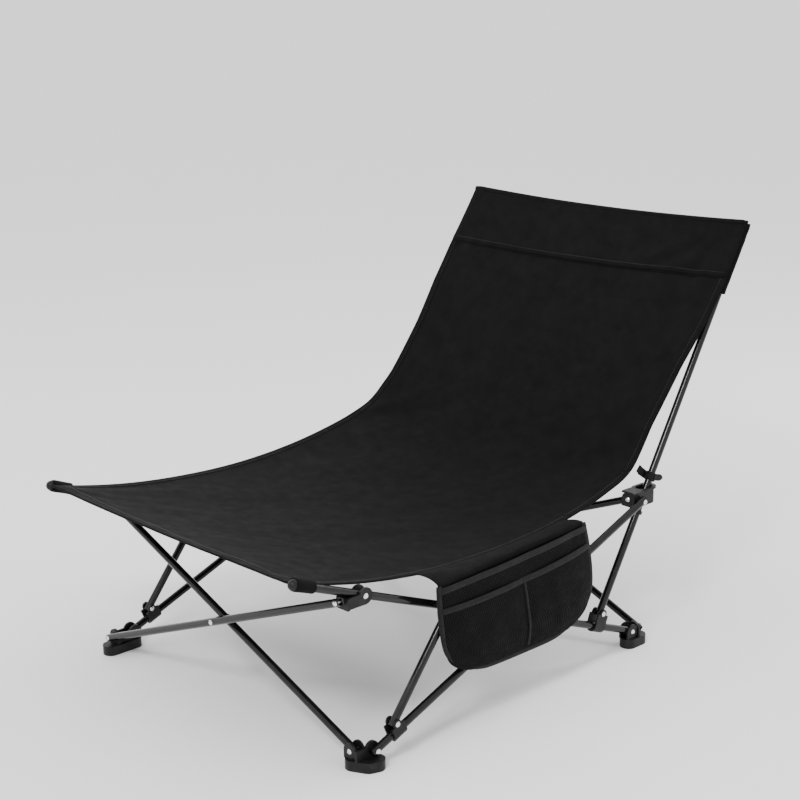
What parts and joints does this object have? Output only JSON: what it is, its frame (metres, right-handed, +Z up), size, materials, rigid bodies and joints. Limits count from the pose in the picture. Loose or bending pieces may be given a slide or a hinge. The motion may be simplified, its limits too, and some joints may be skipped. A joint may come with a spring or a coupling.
{
  "type": "folding camp chair",
  "caption": "Low folding camp chair: crossed black tubes on plastic feet, sliding back poles and one hanging cloth sling with a mesh side pocket.",
  "frame": {"origin": "on the floor under the middle of the open chair's bounding box", "axes": "-Y is the way the sitter faces, +Z up, +X is the sitter's left, the side with the pocket"},
  "size_m": [0.7103, 1.0545, 0.7095],
  "materials": {
    "black_tube": "gloss black powder coat",
    "black_plastic": "moulded black nylon, slightly glossy",
    "zinc_rivet": "bright zinc-plated rivets",
    "sling_cloth": "matt black woven polyester",
    "pocket_mesh": "black polyester mesh with cloth bindings",
    "webbing": "flat black polyester webbing"
  },
  "bodies": {
    "foot_front_right": {"foot_fr": "black_plastic", "foot_pins_fr": "zinc_rivet"},
    "foot_front_left": {"foot_fl": "black_plastic", "foot_pins_fl": "zinc_rivet"},
    "foot_rear_right": {"foot_rr": "black_plastic", "foot_pins_rr": "zinc_rivet"},
    "foot_rear_left": {"foot_rl": "black_plastic", "foot_pins_rl": "zinc_rivet"},
    "hub_front_right": {"hub_fr": "black_plastic", "hub_pins_fr": "zinc_rivet"},
    "hub_front_left": {"hub_fl": "black_plastic", "hub_pins_fl": "zinc_rivet"},
    "hub_rear_right": {"hub_rr": "black_plastic", "hub_pins_rr": "zinc_rivet"},
    "hub_rear_left": {"hub_rl": "black_plastic", "hub_pins_rl": "zinc_rivet"},
    "front_inner_tube": {"tube_front_in": "black_tube", "cross_pin_front": "zinc_rivet"},
    "front_outer_tube": {"tube_front_out": "black_tube"},
    "right_outer_tube": {"tube_right_out": "black_tube", "cross_pin_right": "zinc_rivet"},
    "right_arm_tube": {"tube_right_in": "black_tube", "horn_cap_right": "black_plastic", "brace_pin_right": "zinc_rivet", "pole_bracket_right": "black_plastic", "pole_pin_right": "zinc_rivet"},
    "left_inner_tube": {"tube_left_in": "black_tube", "cross_pin_left": "zinc_rivet"},
    "left_arm_tube": {"tube_left_out": "black_tube", "horn_cap_left": "black_plastic", "brace_pin_left": "zinc_rivet", "pole_bracket_left": "black_plastic", "pole_pin_left": "zinc_rivet"},
    "rear_outer_tube": {"tube_rear_out": "black_tube", "cross_pin_rear": "zinc_rivet"},
    "rear_inner_tube": {"tube_rear_in": "black_tube"},
    "brace_right": {"brace_right": "black_tube"},
    "brace_left": {"brace_left": "black_tube"},
    "slider_right": {"slider_right": "black_plastic", "slider_pin_right": "zinc_rivet"},
    "slider_left": {"slider_left": "black_plastic", "slider_pin_left": "zinc_rivet"},
    "guide_right": {"collar_right": "black_plastic", "loop_right": "webbing"},
    "guide_left": {"collar_left": "black_plastic", "loop_left": "webbing"},
    "back_pole_right": {"pole_right": "black_tube", "pole_cap_right": "black_plastic", "pole_stop_right": "black_plastic", "back_sling": "sling_cloth", "head_band": "sling_cloth"},
    "back_pole_left": {"pole_left": "black_tube", "pole_cap_left": "black_plastic", "pole_stop_left": "black_plastic"},
    "seat_front_cloth": {"seat_front": "sling_cloth", "side_pocket": "pocket_mesh"},
    "seat_rear_cloth": {"seat_rear": "sling_cloth"}
  },
  "joints": [
    {"name": "fold", "type": "hinge", "parent": "foot_front_right", "child": "front_inner_tube", "pos_m": [0.30319, -0.40903, 0.029], "axis": [0, 1, 0], "range_deg": [0, 60]},
    {"name": "front_cross", "type": "hinge", "parent": "front_inner_tube", "child": "front_outer_tube", "pos_m": [-0.00681, -0.43302, 0.151], "axis": [0, 1, 0], "range_deg": [-120.02, 0]},
    {"name": "front_left_foot_pin", "type": "hinge", "parent": "front_outer_tube", "child": "foot_front_left", "pos_m": [-0.31681, -0.43302, 0.029], "axis": [0, 1, 0], "range_deg": [0, 60.02]},
    {"name": "front_right_hub_pin", "type": "hinge", "parent": "front_outer_tube", "child": "hub_front_right", "pos_m": [0.30319, -0.43302, 0.273], "axis": [0, 1, 0], "range_deg": [0, 60.02]},
    {"name": "front_left_hub_pin", "type": "hinge", "parent": "front_inner_tube", "child": "hub_front_left", "pos_m": [-0.31681, -0.40903, 0.273], "axis": [0, 1, 0], "range_deg": [-60.02, 0]},
    {"name": "right_side_pin", "type": "hinge", "parent": "foot_front_right", "child": "right_outer_tube", "pos_m": [0.32719, -0.38803, 0.029], "axis": [1, 0, 0], "range_deg": [0, 60.02]},
    {"name": "right_cross", "type": "hinge", "parent": "right_outer_tube", "child": "right_arm_tube", "pos_m": [0.30319, -0.07802, 0.151], "axis": [1, 0, 0], "range_deg": [-120.02, 0]},
    {"name": "rear_right_foot_pin", "type": "hinge", "parent": "right_arm_tube", "child": "foot_rear_right", "pos_m": [0.30319, 0.23197, 0.029], "axis": [1, 0, 0], "range_deg": [0, 60.02]},
    {"name": "left_side_pin", "type": "hinge", "parent": "foot_front_left", "child": "left_inner_tube", "pos_m": [-0.31681, -0.38803, 0.029], "axis": [1, 0, 0], "range_deg": [0, 60.02]},
    {"name": "left_cross", "type": "hinge", "parent": "left_inner_tube", "child": "left_arm_tube", "pos_m": [-0.34081, -0.07802, 0.151], "axis": [1, 0, 0], "range_deg": [-120.02, 0]},
    {"name": "rear_left_foot_pin", "type": "hinge", "parent": "left_arm_tube", "child": "foot_rear_left", "pos_m": [-0.34081, 0.23197, 0.029], "axis": [1, 0, 0], "range_deg": [0, 60.02]},
    {"name": "rear_side_pin", "type": "hinge", "parent": "foot_rear_right", "child": "rear_outer_tube", "pos_m": [0.30319, 0.25598, 0.029], "axis": [0, 1, 0], "range_deg": [0, 60.02]},
    {"name": "rear_cross", "type": "hinge", "parent": "rear_outer_tube", "child": "rear_inner_tube", "pos_m": [-0.00681, 0.23197, 0.151], "axis": [0, 1, 0], "range_deg": [-120.02, 0]},
    {"name": "rear_right_hub_pin", "type": "hinge", "parent": "rear_inner_tube", "child": "hub_rear_right", "pos_m": [0.30319, 0.23197, 0.273], "axis": [0, 1, 0], "range_deg": [0, 60.02]},
    {"name": "rear_left_hub_pin", "type": "hinge", "parent": "rear_outer_tube", "child": "hub_rear_left", "pos_m": [-0.31681, 0.25598, 0.273], "axis": [0, 1, 0], "range_deg": [-60.02, 0]},
    {"name": "brace_right_pin", "type": "hinge", "parent": "right_arm_tube", "child": "brace_right", "pos_m": [0.32719, -0.23249, 0.21179], "axis": [1, 0, 0], "range_deg": [0, 99.29]},
    {"name": "slider_right_slide", "type": "slide", "parent": "right_outer_tube", "child": "slider_right", "axis": [0, 0.9305, 0.3662], "range_m": [0, 0.25693]},
    {"name": "pole_right_tilt", "type": "hinge", "parent": "hub_rear_right", "child": "guide_right", "pos_m": [0.30319, 0.26475, 0.273], "axis": [1, 0, 0], "range_deg": [0, 28.61]},
    {"name": "pole_right_slide", "type": "slide", "parent": "guide_right", "child": "back_pole_right", "axis": [0, -0.515, -0.8572], "range_m": [0, 0.34354], "deforming": ["back_sling", "head_band"]},
    {"name": "brace_left_pin", "type": "hinge", "parent": "left_arm_tube", "child": "brace_left", "pos_m": [-0.31681, -0.23249, 0.21179], "axis": [1, 0, 0], "range_deg": [0, 99.29]},
    {"name": "slider_left_slide", "type": "slide", "parent": "left_inner_tube", "child": "slider_left", "axis": [0, 0.9305, 0.3662], "range_m": [0, 0.25693]},
    {"name": "pole_left_tilt", "type": "hinge", "parent": "hub_rear_left", "child": "guide_left", "pos_m": [-0.34081, 0.26475, 0.273], "axis": [1, 0, 0], "range_deg": [0, 28.61]},
    {"name": "pole_left_slide", "type": "slide", "parent": "guide_left", "child": "back_pole_left", "axis": [0, -0.515, -0.8572], "range_m": [0, 0.34354]},
    {"name": "seat_front_swing", "type": "hinge", "parent": "right_arm_tube", "child": "seat_front_cloth", "pos_m": [0.30319, -0.52051, 0.32517], "axis": [1, 0, 0], "range_deg": [-23.49, 0], "deforming": ["seat_front", "side_pocket"]},
    {"name": "seat_rear_swing", "type": "hinge", "parent": "back_pole_right", "child": "seat_rear_cloth", "pos_m": [0.30319, 0.22198, 0.306], "axis": [1, 0, 0], "range_deg": [0, 24.73], "deforming": ["seat_rear"]}
  ],
  "couplings": [
    {"joint": "front_cross", "follows": "fold", "ratio": -2},
    {"joint": "front_left_foot_pin", "follows": "fold", "ratio": 1},
    {"joint": "front_right_hub_pin", "follows": "fold", "ratio": 1},
    {"joint": "front_left_hub_pin", "follows": "fold", "ratio": -1},
    {"joint": "right_side_pin", "follows": "fold", "ratio": 1},
    {"joint": "right_cross", "follows": "fold", "ratio": -2},
    {"joint": "rear_right_foot_pin", "follows": "fold", "ratio": 1},
    {"joint": "left_side_pin", "follows": "fold", "ratio": 1},
    {"joint": "left_cross", "follows": "fold", "ratio": -2},
    {"joint": "rear_left_foot_pin", "follows": "fold", "ratio": 1},
    {"joint": "rear_side_pin", "follows": "fold", "ratio": 1},
    {"joint": "rear_cross", "follows": "fold", "ratio": -2},
    {"joint": "rear_right_hub_pin", "follows": "fold", "ratio": 1},
    {"joint": "rear_left_hub_pin", "follows": "fold", "ratio": -1},
    {"joint": "brace_right_pin", "follows": "fold", "ratio": 1.6545},
    {"joint": "slider_right_slide", "follows": "fold", "m_per_rad": 0.24525},
    {"joint": "pole_right_tilt", "follows": "fold", "ratio": 0.47655},
    {"joint": "pole_right_slide", "follows": "fold", "m_per_rad": 0.32796},
    {"joint": "brace_left_pin", "follows": "fold", "ratio": 1.6545},
    {"joint": "slider_left_slide", "follows": "fold", "m_per_rad": 0.24525},
    {"joint": "pole_left_tilt", "follows": "fold", "ratio": 0.47655},
    {"joint": "pole_left_slide", "follows": "fold", "m_per_rad": 0.32796},
    {"joint": "seat_front_swing", "follows": "fold", "ratio": -0.39109},
    {"joint": "seat_rear_swing", "follows": "fold", "ratio": 0.41176}
  ]
}
